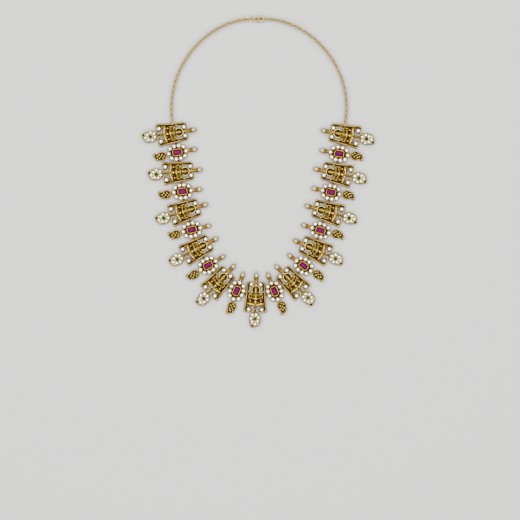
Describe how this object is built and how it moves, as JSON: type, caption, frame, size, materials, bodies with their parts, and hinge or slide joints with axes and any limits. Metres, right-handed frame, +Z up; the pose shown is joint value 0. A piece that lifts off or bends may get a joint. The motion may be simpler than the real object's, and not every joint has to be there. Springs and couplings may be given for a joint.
{
  "type": "temple jewellery necklace",
  "caption": "Gold temple necklace of deity panels and ruby flowers with pearl spikes and mango drops, closed by a plain chain and hook, lying flat.",
  "frame": {"origin": "on the surface it lies on, under the middle of the necklace's outline", "axes": "+Z up from the surface, +X to the right with the middle panel in front, +Y from the middle panel towards the back of the neck"},
  "size_m": [0.1676, 0.2242, 0.0039],
  "materials": {
    "antique_gold": "antique gold plate with dark recesses",
    "carved_gold": "carved antique gold plate",
    "pale_gold": "pale polished gold plate",
    "chain_gold": "polished gold plate",
    "ruby": "step cut",
    "white_stone": "brilliant cut",
    "green_stone": "brilliant cut",
    "pearl": "cream lustre"
  },
  "bodies": {
    "root": {"panel_middle": "antique_gold", "stone_mango_middle": "pale_gold", "panel_left_1": "antique_gold", "panel_left_2": "antique_gold", "panel_left_3": "antique_gold", "panel_left_4": "antique_gold", "panel_left_5": "antique_gold", "panel_right_1": "antique_gold", "panel_right_2": "antique_gold", "panel_right_3": "antique_gold", "panel_right_4": "antique_gold", "panel_right_5": "antique_gold", "flower_left_1": "antique_gold", "flower_left_2": "antique_gold", "flower_left_3": "antique_gold", "flower_left_4": "antique_gold", "flower_left_5": "antique_gold", "flower_right_1": "antique_gold", "flower_right_2": "antique_gold", "flower_right_3": "antique_gold", "flower_right_4": "antique_gold", "flower_right_5": "antique_gold", "stone_mango_left_1": "pale_gold", "stone_mango_left_2": "pale_gold", "stone_mango_left_3": "pale_gold", "stone_mango_left_4": "pale_gold", "stone_mango_left_5": "pale_gold", "stone_mango_right_1": "pale_gold", "stone_mango_right_2": "pale_gold", "stone_mango_right_3": "pale_gold", "stone_mango_right_4": "pale_gold", "stone_mango_right_5": "pale_gold", "gold_mango_left_1": "carved_gold", "gold_mango_left_2": "carved_gold", "gold_mango_left_3": "carved_gold", "gold_mango_left_4": "carved_gold", "gold_mango_left_5": "carved_gold", "gold_mango_right_1": "carved_gold", "gold_mango_right_2": "carved_gold", "gold_mango_right_3": "carved_gold", "gold_mango_right_4": "carved_gold", "gold_mango_right_5": "carved_gold", "rubies": "ruby", "flower_whites": "white_stone", "panel_whites": "white_stone", "green_stones": "green_stone", "pearls": "pearl", "chain_left": "chain_gold", "chain_right": "chain_gold", "clasp": "chain_gold"}
  },
  "joints": []
}
